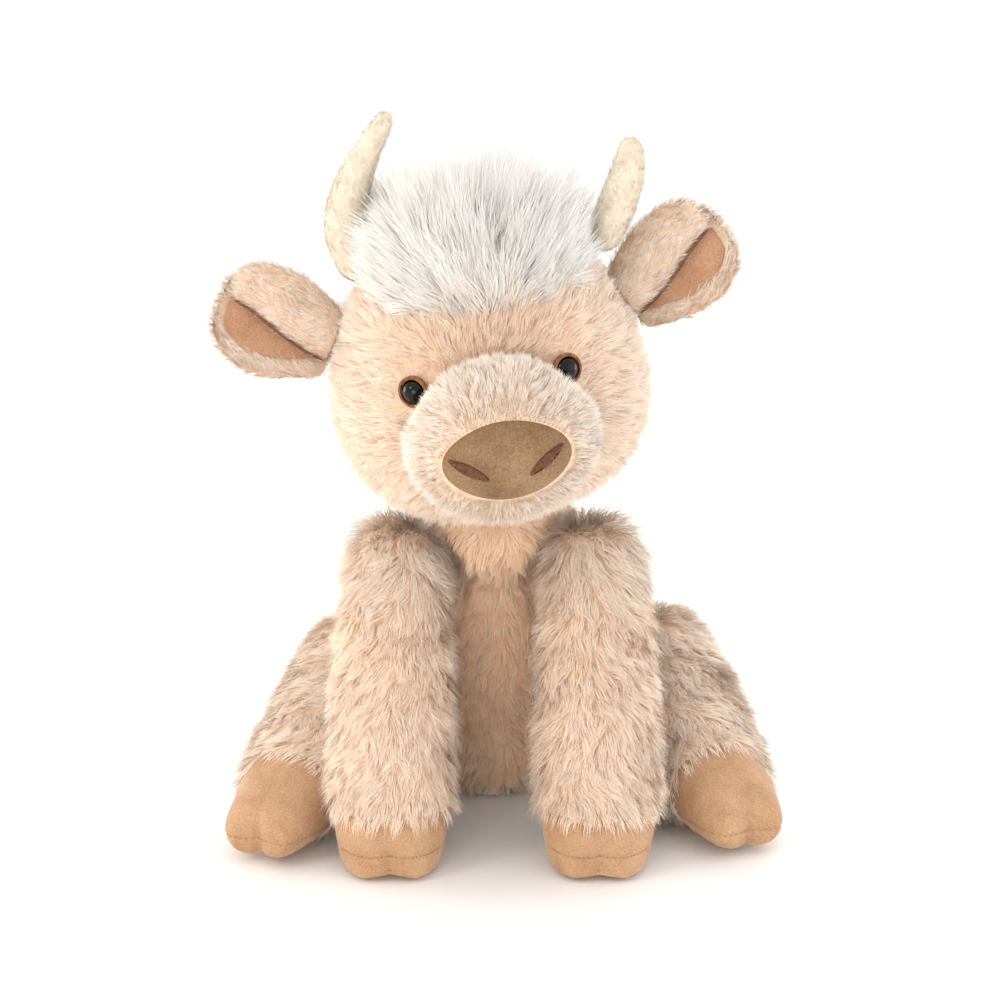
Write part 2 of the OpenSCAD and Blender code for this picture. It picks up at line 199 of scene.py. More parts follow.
def rgb(hex_colour):
    """A display colour such as #EFE0D0 as linear values."""
    v = [int(hex_colour[i:i + 2], 16) / 255 for i in (1, 3, 5)]
    return tuple(c / 12.92 if c <= 0.04045 else ((c + 0.055) / 1.055) ** 2.4 for c in v)


def backing(name, dark, light):
    """The knitted backing under a pile, seen only between strands."""
    m = new_material(name, rgb(light), 0.9)
    n = noise(m, 420, 2.0)
    ramp(m, n, [(0.3, rgb(dark)), (0.7, rgb(light))])
    bump(m, n, 0.6, 0.0006)
    return m


def pile_tones(name, colours, sheen=0.35):
    """One material per tone of a pile, from its darker roots, which carry painted shade, to its palest tips."""
    tones = []
    for i, c in enumerate(colours):
        m = new_material(f"{name}_{i}", rgb(c), 0.75, sheen, (1.0, 0.97, 0.93, 1))
        rough_by(m, noise(m, 900, 1.0), 0.62, 0.85)
        tones.append(m)
    return tones


def minky(name, dark, middle, light):
    """A short velvety pile with painted light and shade in patches, for the stroked nap catching and losing the
    light.
    """
    m = new_material(name, rgb(middle), 0.85, 0.35, (1.0, 0.9, 0.78, 1))
    nt = m.node_tree
    broad = noise(m, 70, 4.0, 0.6)
    fine = noise(m, 1500, 2.0, 0.6)
    mix = nt.nodes.new("ShaderNodeMath")
    mix.operation = "MULTIPLY_ADD"
    mix.inputs[1].default_value = 0.55
    nt.links.new(fine.outputs[0], mix.inputs[0])
    half = nt.nodes.new("ShaderNodeMath")
    half.operation = "MULTIPLY"
    half.inputs[1].default_value = 0.5
    nt.links.new(broad.outputs[0], half.inputs[0])
    nt.links.new(half.outputs[0], mix.inputs[2])
    ramp(m, mix, [(0.36, rgb(dark)), (0.52, rgb(middle)), (0.70, rgb(light))])
    bump(m, fine, 0.5, 0.0005)
    return m


make_camera()
make_lights()

BODY_TONES = pile_tones("body_pile", ["#E8C8AD", "#F0D2B9", "#F6DDC6", "#F9E4CF", "#FBEAD9"])
MUZZLE_TONES = pile_tones("muzzle_pile", ["#DDBFA5", "#E8CFB8", "#F1DDCA", "#F6E7D8", "#FAF0E5"])
LONG_TONES = pile_tones("long_pile", ["#EFE3D4", "#F6EDE2", "#FAF5EE", "#FCF9F5", "#FEFCFA"])
HORN_TONES = pile_tones("horn_pile", ["#E4D3BA", "#EADCC6", "#F0E4D2", "#F4EBDC", "#F6EFE2"])
# Painted shade: the chest tones are darker and pinker than the body's, for the shade under the head and between
# the legs.
CHEST_SHADE_TONES = pile_tones("chest_shaded_pile", ["#EEBD97", "#F4C8A3", "#F8D1AF", "#FAD9BA", "#FBE0C6"])
BODY_BACKING = backing("body_backing", "#D9B698", "#EBCFB6")
LONG_BACKING = backing("long_backing", "#DFCFBE", "#F0E6DA")
HORN_BACKING = backing("horn_backing", "#E3D3BC", "#F1E6D4")
FOOT = minky("foot_minky", "#A67D5B", "#BA9270", "#CCA685")
LINING = minky("ear_minky", "#9B7053", "#B28567", "#C39B7F")
NOSE = minky("nose_minky", "#70563D", "#8A6C50", "#A18566")


# ---- Meshes ----


def link(name, mesh, materials):
    o = bpy.data.objects.new(name, mesh)
    bpy.context.collection.objects.link(o)
    mesh.materials.clear()
    for m in materials:
        mesh.materials.append(m)
    return o


def settle(o):
    """Applies every modifier of o to its mesh."""
    graph = bpy.context.evaluated_depsgraph_get()
    mesh = bpy.data.meshes.new_from_object(o.evaluated_get(graph))
    o.modifiers.clear()
    old, o.data = o.data, mesh
    bpy.data.meshes.remove(old)
    return o


def points_of(mesh):
    co = np.zeros(len(mesh.vertices) * 3)
    mesh.vertices.foreach_get("co", co)
    return co.reshape(-1, 3)


def set_points(mesh, co):
    mesh.vertices.foreach_set("co", np.ascontiguousarray(co, dtype=np.float64).ravel())
    mesh.update()


def normals_of(mesh):
    n = np.zeros(len(mesh.vertices) * 3)
    mesh.vertices.foreach_get("normal", n)
    return n.reshape(-1, 3)


def smooth_shaded(mesh):
    mesh.shade_smooth()
    return mesh


def back_to(o, nodes):
    """Moves a smoothed form out again to the outer CAD surface that it shrank from."""
    tree = bvh_of([NODES[n] for n in nodes])
    co, no = points_of(o.data), normals_of(o.data)
    reach = 5 * MM
    for i in range(len(co)):
        hit = tree.ray_cast(Vector(co[i] + no[i] * reach), Vector(-no[i]), reach * 1.4)
        if hit[3] is not None:
            co[i] += no[i] * (reach - hit[3])
    set_points(o.data, co)


def form_of(name, nodes, material, voxel, rounds):
    """One closed soft form round CAD nodes, with their facets smoothed away."""
    bm = bmesh.new()
    for n in nodes:
        bm.from_mesh(NODES[n].data)
    mesh = bpy.data.meshes.new(name)
    bm.to_mesh(mesh)
    bm.free()
    o = link(name, mesh, [material])
    r = o.modifiers.new("remesh", "REMESH")
    r.mode = "VOXEL"
    r.voxel_size = voxel * MM
    settle(o)
    for repeat in (rounds, 2):
        if repeat == 2:
            back_to(o, nodes)
        s = o.modifiers.new("smooth", "SMOOTH")
        s.factor = 0.5
        s.iterations = repeat
        settle(o)
    o.data.materials.clear()
    o.data.materials.append(material)
    return o


CLOTH_PRESSURE, CLOTH_FRAMES = 4.0, 20


def stuff(o, inset, cap):
    """Insets a form and runs cloth pressure inside it, then rounds it with one subdivision.

    The pressure moves the points out by less than 0.2 mm on average, far below cap, so a form
    stays about its inset inside the CAD surface."""
    mesh = o.data
    co = points_of(mesh)
    set_points(mesh, co - normals_of(mesh) * inset * MM)
    start = points_of(mesh)
    c = o.modifiers.new("cloth", "CLOTH")
    c.settings.quality = 4
    c.settings.mass = 0.3
    c.settings.tension_stiffness = 12
    c.settings.compression_stiffness = 12
    c.settings.bending_stiffness = 0.4
    c.settings.use_pressure = True
    c.settings.uniform_pressure_force = CLOTH_PRESSURE
    c.settings.effector_weights.gravity = 0
    c.collision_settings.use_collision = False
    c.point_cache.frame_start = 1
    c.point_cache.frame_end = CLOTH_FRAMES
    for f in range(1, CLOTH_FRAMES + 1):
        bpy.context.scene.frame_set(f)
    graph = bpy.context.evaluated_depsgraph_get()
    swollen = points_of(o.evaluated_get(graph).data)
    o.modifiers.clear()
    bpy.context.scene.frame_set(1)
    move = swollen - start
    far = np.linalg.norm(move, axis=1, keepdims=True)
    set_points(mesh, start + move * np.minimum(1, cap * MM / np.maximum(far, 1e-9)))
    sub = o.modifiers.new("sub", "SUBSURF")
    sub.levels = sub.render_levels = 1
    settle(o)
    smooth_shaded(o.data)
    return o


def refine(o, levels=1):
    sub = o.modifiers.new("sub", "SUBSURF")
    sub.levels = sub.render_levels = levels
    settle(o)
    smooth_shaded(o.data)
    return o


def part_of(o, name, material, at, normal):
    """The closed part of form o on the side of a plane that the normal points away from."""
    bm = bmesh.new()
    bm.from_mesh(o.data)
    geom = bm.verts[:] + bm.edges[:] + bm.faces[:]
    bmesh.ops.bisect_plane(bm, geom=geom, dist=1e-6, plane_co=at, plane_no=normal, clear_outer=True)
    edges = [e for e in bm.edges if e.is_boundary]
    bmesh.ops.holes_fill(bm, edges=edges, sides=0)
    bmesh.ops.triangulate(bm, faces=[f for f in bm.faces if len(f.verts) > 4])
    bmesh.ops.recalc_face_normals(bm, faces=bm.faces[:])
    mesh = bpy.data.meshes.new(name)
    bm.to_mesh(mesh)
    bm.free()
    return link(name, smooth_shaded(mesh), [material])


def bvh_of(objects):
    verts, tris, base = [], [], 0
    for o in objects:
        mesh = o.data
        mesh.calc_loop_triangles()
        t = np.zeros(len(mesh.loop_triangles) * 3, dtype=np.int64)
        mesh.loop_triangles.foreach_get("vertices", t)
        co = points_of(mesh)
        verts.append(co)
        tris.append(t.reshape(-1, 3) + base)
        base += len(co)
    return BVHTree.FromPolygons(np.vstack(verts).tolist(), np.vstack(tris).tolist())


# ---- Pile ----


def unit(v):
    return v / np.maximum(np.linalg.norm(v, axis=-1, keepdims=True), 1e-12)


class Waves:
    """A smooth random field: a few sine waves in random directions."""

    def __init__(self, seed, size, count=7):
        r = np.random.default_rng(seed)
        self.k = unit(r.normal(size=(count, 3))) * (2 * np.pi / (size * MM)) * r.uniform(0.6, 1.6, (count, 1))
        self.phase = r.uniform(0, 2 * np.pi, count)

    def __call__(self, p):
        return np.sin(p @ self.k.T + self.phase).sum(axis=1) / math.sqrt(len(self.phase))


def roots_on(skin, density, rng):
    """Random roots on a skin, density per square millimetre at the triangles' centres."""
    mesh = skin.data
    mesh.calc_loop_triangles()
    t = np.zeros(len(mesh.loop_triangles) * 3, dtype=np.int64)
    mesh.loop_triangles.foreach_get("vertices", t)
    t = t.reshape(-1, 3)
    co, no = points_of(mesh), normals_of(mesh)
    a, b, c = co[t[:, 0]], co[t[:, 1]], co[t[:, 2]]
    area = np.linalg.norm(np.cross(b - a, c - a), axis=1) / 2 / MM ** 2
    middle = (a + b + c) / 3
    flat = unit(np.cross(b - a, c - a))
    weight = area * density(middle, flat)
    count = int(weight.sum())
    pick = rng.choice(len(t), size=count, p=weight / weight.sum())
    u, v = rng.random(count), rng.random(count)
    over = u + v > 1
    u[over], v[over] = 1 - u[over], 1 - v[over]
    w = np.stack([1 - u - v, u, v], axis=1)[:, :, None]
    p = (co[t[pick]] * w).sum(axis=1)
    n = unit((no[t[pick]] * w).sum(axis=1))
    return p, n


def nearest_clump(p, spacing, rng):
    """For each root, the root that its tuft gathers round."""
    cells = np.floor(p / (spacing * MM)).astype(np.int64)
    order = rng.permutation(len(p))
    _, first = np.unique(cells[order], axis=0, return_index=True)
    heads = order[first]
    tree = KDTree(len(heads))
    for i, h in enumerate(heads):
        tree.insert(p[h], i)
    tree.balance()
    return heads[np.array([tree.find(q)[1] for q in p])]


MOST_TRIANGLES = 190000


def pile(name, skin, body, tones, *, seed, density, length, comb, width=0.23, lay=(46, 73), gather=0.34,
         tuft=5.0, clear_of=None, ruffle=0.4, spread=7.0, wild=0.12, steps=2,
         tint=None, flat=None):
    """Real strands on a skin: tapered ribbons that lie along comb and gather in tufts.

    length and comb are functions of the roots and their normals, in row-frame metres and
    millimetres of length. clear_of is a tree of pieces that the strands stop short of. tint
    shifts the tone of the strands along tones, and flat lays them further over, in degrees."""
    rng = np.random.default_rng(seed)
    p, n = roots_on(skin, density, rng)
    long = length(p, n) * rng.uniform(0.72, 1.12, len(p)) * MM
    flow = comb(p, n)
    wave_a, wave_b = Waves(seed + 1, 26), Waves(seed + 2, 14)
    side = np.cross(n, unit(flow))
    flow = unit(flow) + side * (ruffle * (wave_a(p) * 0.7 + wave_b(p) * 0.5))[:, None]
    flow = unit(flow - n * (flow * n).sum(axis=1, keepdims=True))
    side = np.cross(n, flow)
    spin = np.radians(rng.normal(0, spread, len(p)))
    flow = flow * np.cos(spin)[:, None] + side * np.sin(spin)[:, None]
    head = nearest_clump(p, tuft, rng)
    tuft_spin = np.radians(rng.normal(0, 15, len(p)))[head]
    flow = flow * np.cos(tuft_spin)[:, None] + np.cross(n, flow) * np.sin(tuft_spin)[:, None]
    stray = rng.random(len(p)) < wild
    lift = rng.normal(0, 5, len(p)) + rng.normal(0, 8, len(p))[head] + 6 * wave_b(p) - 22 * stray
    tuft_lean = rng.normal(0, 0.11, (len(p), 2))[head]
    tuft_tone = rng.normal(0, 0.35, len(p))[head]
    pull = (p[head] - p) * gather
    if flat is not None:
        lift = lift + flat(p)
    if clear_of is not None:
        rough_dir = unit(n * 0.8 + flow)
        keep = np.ones(len(p), bool)
        for i in range(len(p)):
            up = clear_of.ray_cast(p[i] + n[i] * 0.0003, n[i], 0.0045)
            if up[3] is not None and up[3] < 0.0016:
                keep[i] = False
                continue
            hit = clear_of.ray_cast(p[i] + n[i] * 0.0003, rough_dir[i], long[i] * 1.1)
            near = min(up[3] * 1.6 if up[3] is not None else 1, hit[3] if hit[3] is not None else 1)
            if near < long[i]:
                long[i] = near * 0.85
            if long[i] < 0.0012:
                keep[i] = False
        p, n, long, flow, lift, pull = p[keep], n[keep], long[keep], flow[keep], lift[keep], pull[keep]
        tuft_lean, tuft_tone = tuft_lean[keep], tuft_tone[keep]
    count = len(p)
    levels = np.zeros((count, steps + 1, 3))
    levels[:, 0] = p - n * 0.0002
    for s in range(steps):
        t = (s + 0.5) / steps
        angle = np.radians(np.clip(lay[0] + (lay[1] - lay[0]) * t + lift, 4, 84))[:, None]
        way = n * np.cos(angle) + flow * np.sin(angle)
        way = unit(way)
        levels[:, s + 1] = levels[:, s] + way * (long / steps)[:, None]
    for s in range(1, steps + 1):
        levels[:, s] += pull * (s / steps) ** 1.6
    levels[:, 1:, 2] = np.maximum(levels[:, 1:, 2], 0.3 * MM)
    across = unit(np.cross(flow, n)) * (width * MM / 2) * rng.uniform(0.75, 1.25, count)[:, None]
    twist = np.radians(rng.normal(0, 22, count))[:, None]
    across = across * np.cos(twist) + np.linalg.norm(across, axis=1, keepdims=True) * n * np.sin(twist)
    taper = np.interp(np.arange(steps) / steps, [0, 0.35, 0.7, 1.0], [1.0, 0.95, 0.62, 0.3])
    verts = np.zeros((count, 2 * steps + 1, 3))
    for s in range(steps):
        verts[:, 2 * s] = levels[:, s] - across * taper[s]
        verts[:, 2 * s + 1] = levels[:, s] + across * taper[s]
    verts[:, 2 * steps] = levels[:, steps]
    lean = tuft_lean + rng.normal(0, 0.08, (count, 2))
    shade = unit(n * 0.8 + flow * lean[:, :1] + np.cross(n, flow) * lean[:, 1:])
    tone = 2.5 + rng.normal(0, 0.4, count) + tuft_tone + 0.3 * wave_b(p)
    if tint is not None:
        tone += tint(p)
    pieces = []
    split = MOST_TRIANGLES // (2 * steps - 1)
    starts = list(range(0, count, split))
    for k, a in enumerate(starts):
        z = min(a + split, count)
        label = f"{name}_{k + 1}"
        pieces.append(ribbons(label, verts[a:z], shade[a:z], tone[a:z], tones, steps))
    for o in pieces:
        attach(o, body)
    return pieces


def ribbons(name, verts, shade, tone, tones, steps):
    count = len(verts)
    per = 2 * steps + 1
    base = (np.arange(count) * per)[:, None]
    quads = [base + np.array([[2 * s, 2 * s + 1, 2 * s + 3, 2 * s + 2]]) for s in range(steps - 1)]
    tip = base + np.array([[2 * steps - 2, 2 * steps - 1, 2 * steps]])
    loops = np.concatenate(quads + [tip], axis=1)
    sizes = np.tile([4] * (steps - 1) + [3], count)
    starts = np.concatenate([[0], np.cumsum(sizes)[:-1]])
    mesh = bpy.data.meshes.new(name)
    mesh.vertices.add(count * per)
    mesh.vertices.foreach_set("co", verts.ravel())
    mesh.loops.add(loops.size)
    mesh.loops.foreach_set("vertex_index", loops.ravel().astype(np.int32))
    mesh.polygons.add(len(sizes))
    mesh.polygons.foreach_set("loop_start", starts.astype(np.int32))
    # Painted shade: each strand's root faces take darker tones and its tip faces paler ones, for the shade deep
    # in the pile.
    level = np.clip(np.round(tone[:, None] + np.linspace(-0.7, 0.6, steps)[None, :]), 0, len(tones) - 1)
    o = link(name, mesh, tones)
    mesh.polygons.foreach_set("material_index", level.astype(np.int32).ravel())
    mesh.update(calc_edges=True)
    mesh.shade_smooth()
    mesh.normals_split_custom_set_from_vertices(np.repeat(shade, per, axis=0).tolist())
    return o


def even(value):
    return lambda p, n: np.full(len(p), float(value))


# ---- Forms ----

TORSO_NODES = ["torso_left_panel", "torso_right_panel", "chest_panel", "seat_panel", "torso_filling",
               "pellet_bag"]
HEAD_NODES = ["head_left_panel", "head_right_panel", "face_gusset", "head_back_panel", "head_filling"]
MUZZLE_NODES = ["muzzle_panel", "muzzle_filling"]


def stuffed_piece(name, nodes, material, voxel=4.0, rounds=8, inset=2.0, cap=1.9):
    o = stuff(form_of(name, nodes, material, voxel, rounds), inset, cap)
    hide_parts(*nodes)
    return o


torso = stuffed_piece("torso_skin", TORSO_NODES, BODY_BACKING)
head = stuffed_piece("head_skin", HEAD_NODES, BODY_BACKING)
muzzle = stuffed_piece("muzzle_skin", MUZZLE_NODES, BODY_BACKING, voxel=3.0)


def leg_parts(kind, side):
    body = f"{kind}_leg_{side}"
    panels = ["outer", "inner"] if kind == "front" else ["upper", "lower"]
    sleeve_nodes = [f"{body}_{w}_panel" for w in panels] + [f"{body}_filling"]
    foot_nodes = [f"{kind}_foot_{side}_{w}" for w in ("upper", "sole")]
    form = stuff(form_of(body + "_form", sleeve_nodes + foot_nodes, BODY_BACKING, 4.0, 6), 1.6, 1.5)
    if kind == "front":
        at = (MIDDLE + [0, -60, FRONT_HEM]) * MM
        up = turn("X", -6) @ np.array([0, 0, 1.0])
    else:
        x, y, splay = HIPS[side]
        toe = turn("Z", splay) @ np.array([0, -1.0, 0])
        at = (MIDDLE + [x, y, 0] + toe * HIND_HEM) * MM
        up = -toe
    sleeve = part_of(form, body + "_sleeve", BODY_BACKING, at, -up)
    foot = part_of(form, f"{kind}_foot_{side}", FOOT, at, up)
    bpy.data.objects.remove(form)
    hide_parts(*sleeve_nodes)
    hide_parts(*foot_nodes)
    refine(foot)
    return sleeve, foot


legs = {(kind, side): leg_parts(kind, side) for kind in ("front", "hind") for side in SIDES}

# ---- Threads ----


def thread(bm, path, radius, sides=6):
    """A thread along a path, with closed pointed ends."""
    path = [Vector(p) for p in path]
    rings = []
    for i, p in enumerate(path):
        along = (path[min(i + 1, len(path) - 1)] - path[max(i - 1, 0)]).normalized()
        u = along.orthogonal().normalized()
        v = along.cross(u)
        if i in (0, len(path) - 1):
            rings.append([bm.verts.new(p)])
            continue
        rings.append([bm.verts.new(p + (u * math.cos(2 * math.pi * k / sides)
                                        + v * math.sin(2 * math.pi * k / sides)) * radius) for k in range(sides)])
    for a, b in zip(rings, rings[1:]):
        for k in range(sides):
            j = (k + 1) % sides
            if len(a) == 1:
                bm.faces.new((a[0], b[j], b[k]))
            elif len(b) == 1:
                bm.faces.new((a[k], a[j], b[0]))
            else:
                bm.faces.new((a[k], a[j], b[j], b[k]))


def threads(name, paths, radius, material, body):
    bm = bmesh.new()
    for path in paths:
        thread(bm, path, radius * MM)
    bmesh.ops.recalc_face_normals(bm, faces=bm.faces[:])
    mesh = bpy.data.meshes.new(name)
    bm.to_mesh(mesh)
    bm.free()
    o = link(name, smooth_shaded(mesh), [material])
    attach(o, body)
    return o


def floss(name, dark, light):
    """Twisted embroidery thread with a silky gloss."""
    m = new_material(name, rgb(light), 0.42)
    n = noise(m, 900, 2.0, 0.5)
    ramp(m, n, [(0.35, rgb(dark)), (0.65, rgb(light))])
    bump(m, n, 0.4, 0.0002)
    m.node_tree.nodes["Principled BSDF"].inputs["Specular IOR Level"].default_value = 0.5
    return m


FLOSS = floss("brown_floss", "#552B15", "#733D1E")
# This dark brown thread is partly a binding line and partly painted shadow under each ear's fold.
FOLD_SHADOW_THREAD = floss("fold_shadow_thread", "#5A3620", "#7A4C2E")
SEWING = floss("tan_thread", "#8F6236", "#B98552")


# ---- Ears ----


def ear_frame(side):
    """Ear frame to row frame: x down across the ear, z from seam to tip, y through it, in millimetres."""
    s = SIDES[side]
    r = HEAD_R @ turn("Y", s * (90 - EAR_RISE))
    if s < 0:
        r = r @ turn("Z", 180)
    r = r @ turn("Z", s * -EAR_CUP)
    at = HEAD_R @ np.array([s * EAR_ROOT[0], EAR_ROOT[1], EAR_ROOT[2]]) + HEAD_AT
    return r, at


def ear_half_width(z):
    """Half width of an ear at a distance from its seam."""
    t = np.clip(z / EAR_LEN, 0, 1)
    return EAR_W / 2 * np.interp(t, [0, 0.2, 0.45, 0.7, 0.9, 1.0], [0.58, 0.78, 0.95, 0.96, 0.72, 0.35])


def lens_mesh(name, rows, material, frame_of):
    """A closed soft mesh lofted through rows of points; frame_of turns them into the row frame."""
    bm = bmesh.new()
    rings = [[bm.verts.new(Vector(p)) for p in frame_of(row)] for row in rows]
    for a, b in zip(rings, rings[1:]):
        for i in range(len(a)):
            j = (i + 1) % len(a)
            bm.faces.new((a[i], a[j], b[j], b[i]))
    bm.faces.new(list(reversed(rings[0])))
    bm.faces.new(rings[-1])
    bmesh.ops.recalc_face_normals(bm, faces=bm.faces[:])
    mesh = bpy.data.meshes.new(name)
    bm.to_mesh(mesh)
    bm.free()
    return link(name, smooth_shaded(mesh), [material])


def oval_ring(centre, half_x, front, back, count=20):
    """A ring in an ear's x-y plane whose front and back bulge differently."""
    a = np.linspace(0, 2 * np.pi, count, endpoint=False)
    y = np.where(np.sin(a) > 0, np.sin(a) * back, np.sin(a) * front)
    return np.stack([centre + half_x * np.cos(a), y], axis=1)


def make_ear(side):
    r, at = ear_frame(side)
    out = SIDES[side]

    def placed(points):
        p = np.asarray(points).copy()
        p[:, 1] *= out
        return (p @ r.T + at) * MM

    def loft(name, material, z_list, ring_at):
        rows = []
        for z in z_list:
            ring = ring_at(z)
            rows.append(np.column_stack([ring, np.full(len(ring), z)]))
        o = lens_mesh(name, rows, material, placed)
        return refine(o, 2)

    steps = np.concatenate([[0.5], np.linspace(2, EAR_LEN - 2, 12), [EAR_LEN - 0.6]])

    def back_ring(z):
        w = ear_half_width(z)
        hollow = 1.2 + 1.2 * math.sin(math.pi * min(z / EAR_LEN, 1))
        ring = oval_ring(0, w, -hollow, 3.6)
        edge = np.abs(ring[:, 0]) / max(w, 1)
        ring[:, 1] -= 2.4 * edge ** 4
        return ring

    def lining_ring(z):
        w = max(ear_half_width(z) - 5.2, 2)
        return oval_ring(-1.6, w - 1.6, 0.2, 1.6)

    def fold_at(z):
        return ear_half_width(z) * (0.46 - 0.78 * z / EAR_LEN)

    def flap_ring(z):
        """The upper third of the ear folds down over its front."""
        w = ear_half_width(z)
        fold = fold_at(z)
        top = -w - 0.4
        return np.column_stack([oval_ring((fold + top) / 2, (fold - top) / 2, 5.2, -0.4)[:, 0],
                                oval_ring(0, 1, 5.4, 0.6)[:, 1] - 1.2])

    back = loft(f"ear_{side}_back_skin", BODY_BACKING, steps, back_ring)
    inner = loft(f"ear_{side}_lining_skin", LINING, steps[1:-1] * 0.93 + 1.2, lining_ring)
    flap = loft(f"ear_{side}_fold_skin", BODY_BACKING, steps[:-1] * 0.96, flap_ring)
    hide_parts(f"ear_{side}_back")
    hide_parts(f"ear_{side}_lining")
    for o, slot in ((back, "cream_fur"), (inner, "ear_minky"), (flap, "cream_fur")):
        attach(o, f"ear_{side}")
    # Painted shadow: a dark brown thread along the fold's lower edge, partly a binding line and partly the crease
    # shadow under the fold.
    edge = [placed([[fold_at(z) + 1.5, -3.2, z]])[0] for z in np.linspace(2, EAR_LEN * 0.9, 16)]
    threads(f"ear_{side}_fold_shadow_line", [edge], 0.55, FOLD_SHADOW_THREAD, f"ear_{side}")
    return back, inner, flap, r[:, 2]


ears = {side: make_ear(side) for side in SIDES}


# ---- Horn and tail forms ----


def soft_trim(name, node, material, body, voxel, rounds, fuller=0.0):
    o = form_of(name, [node], material, voxel, rounds)
    set_points(o.data, points_of(o.data) + normals_of(o.data) * fuller * MM)
    refine(o)
    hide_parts(node)
    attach(o, body)
    return o


horns = {s: soft_trim(f"horn_{s}_skin", f"horn_{s}", HORN_BACKING, "head", 2.0, 4, 1.0)
         for s in SIDES}
tail_sleeve = soft_trim("tail_sleeve_skin", "tail_sleeve", BODY_BACKING, "tail", 1.6, 4)
tail_tuft = soft_trim("tail_tuft_core", "tail_tuft", LONG_BACKING, "tail", 1.6, 4)

for o, body in ((torso, "torso"), (head, "head"), (muzzle, "head")):
    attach(o, body)
for (kind, side), (sleeve, foot) in legs.items():
    for o in (sleeve, foot):
        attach(o, f"{kind}_leg_{side}")


# ---- Feet ----


def foot_frame(kind, side):
    """The foot's middle line: a point on it and the ways across, forwards, in row-frame metres."""
    if kind == "front":
        lo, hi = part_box(f"front_foot_{side}_sole")
        middle = np.array([(lo[0] + hi[0]) / 2, (lo[1] + hi[1]) / 2, 0])
        return middle, np.array([1.0, 0, 0]), np.array([0, -1.0, 0])
    x, y, splay = HIPS[side]
    r = turn("Z", splay)
    return (MIDDLE + [x, y, 0]) * MM, r @ np.array([1.0, 0, 0]), r @ np.array([0, -1.0, 0])


def shape_foot(kind, side, foot):
    """Presses the cleft between the two toes and the seam round the sole into a foot."""
    at, across, ahead = foot_frame(kind, side)
    co, no = points_of(foot.data), normals_of(foot.data)
    a = (co - at) @ across / MM
    z = co[:, 2] / MM
    facing = np.clip(no @ ahead, 0, 1)
    under = np.clip(-no[:, 2], 0, 1)
    front = np.clip(facing * 1.3 + 0.15 * under, 0, 1)
    height = FRONT_HEM if kind == "front" else 30.0
    fade = np.clip(1.25 - z / height, 0, 1)
    cleft = np.exp(-(a / 2.3) ** 2) * 1.8 + np.exp(-(a / 6.0) ** 2) * 1.5
    toes = np.exp(-((np.abs(a) - 11) / 7) ** 2) * 1.3
    seam = np.exp(-((z - FOOT_SEAM) / 0.8) ** 2) * 0.75 * np.clip(1 - under, 0, 1)
    push = (toes - cleft) * front * fade - seam
    moved = co + no * (push * MM)[:, None]
    moved[:, 2] = np.maximum(moved[:, 2], 0.0)
    set_points(foot.data, moved)
    smooth_shaded(foot.data)


for (kind, side), (sleeve, foot) in legs.items():
    shape_foot(kind, side, foot)


# ---- Nose ----

muzzle_tree = bvh_of([muzzle])
NOSE_HALF = np.array([24.0, 14.5])


def on_muzzle(x, z, proud):
    """The point of the muzzle straight ahead of (x, z) in the head frame, standing proud of it."""
    start = from_head([x, -140.0, z])
    way = Vector(HEAD_R @ np.array([0, 1.0, 0]))
    hit, normal, _, _ = muzzle_tree.ray_cast(Vector(start), way)
    return np.array(hit) + np.array(normal) * proud * MM


def make_nose():
    rings, spokes = 14, 56
    bm = bmesh.new()
    front, behind = [], []
    for i in range(rings + 1):
        f = i / rings
        proud = 1.5 * (1 - f ** 7) - 0.3 * f ** 7
        count = 1 if i == 0 else spokes
        row, back = [], []
        for k in range(count):
            a = 2 * math.pi * k / spokes
            x = NOSE_AT[0] + NOSE_HALF[0] * f * math.cos(a)
            z = NOSE_AT[1] + NOSE_HALF[1] * f * math.sin(a) * (1 - 0.05 * math.cos(2 * a))
            row.append(bm.verts.new(on_muzzle(x, z, proud)))
            back.append(bm.verts.new(on_muzzle(x, z, -0.9)))
        front.append(row)
        behind.append(back)
    for rows in (front, behind):
        for a, b in zip(rows, rows[1:]):
            for k in range(spokes):
                j = (k + 1) % spokes
                if len(a) == 1:
                    bm.faces.new((a[0], b[k], b[j]))
                else:
                    bm.faces.new((a[k], b[k], b[j], a[j]))
    for k in range(spokes):
        j = (k + 1) % spokes
        bm.faces.new((front[-1][k], behind[-1][k], behind[-1][j], front[-1][j]))
    bmesh.ops.recalc_face_normals(bm, faces=bm.faces[:])
    mesh = bpy.data.meshes.new("nose_patch_skin")
    bm.to_mesh(mesh)
    bm.free()
    o = link("nose_patch_skin", smooth_shaded(mesh), [NOSE])
    refine(o)
    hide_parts("nose_patch")
    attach(o, "head")
    return o


nose = make_nose()


def make_nostril(side):
    s = SIDES[side]
    cx, cz = NOSE_AT[0] + s * 13.5, NOSE_AT[1] - 1
    tilt = math.radians(35) * s
    long_way = np.array([math.cos(tilt), math.sin(tilt)])
    short_way = np.array([-long_way[1], long_way[0]])
    paths = []
    for q in np.arange(-7.3, 7.31, 0.36):
        half = 2.05 * (1 - abs(q / 7.7) ** 2.0) ** 0.85
        lean = 0.25
        points = []
        for t in np.linspace(-1, 1, 7):
            x, z = np.array([cx, cz]) + long_way * (q + lean * t) + short_way * half * t
            points.append(on_muzzle(x, z, 1.35 + 0.75 * (1 - t * t)))
        paths.append(points)
    o = threads(f"nostril_{side}_satin", paths, 0.30, FLOSS, "head")
    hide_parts(f"nostril_{side}")
    return o


for side in SIDES:
    make_nostril(side)

edge_paths = []
for a in np.radians(np.arange(28, 165, 4.2)):
    points = []
    for f in (0.955, 0.99, 1.03):
        x = NOSE_AT[0] + NOSE_HALF[0] * f * math.cos(a)
        z = NOSE_AT[1] + NOSE_HALF[1] * f * math.sin(a) * (1 - 0.05 * math.cos(2 * a))
        points.append(on_muzzle(x, z, 1.5 if f < 1 else 0.4))
    edge_paths.append(points)
threads("nose_edge_stitches", edge_paths, 0.14, SEWING, "head")


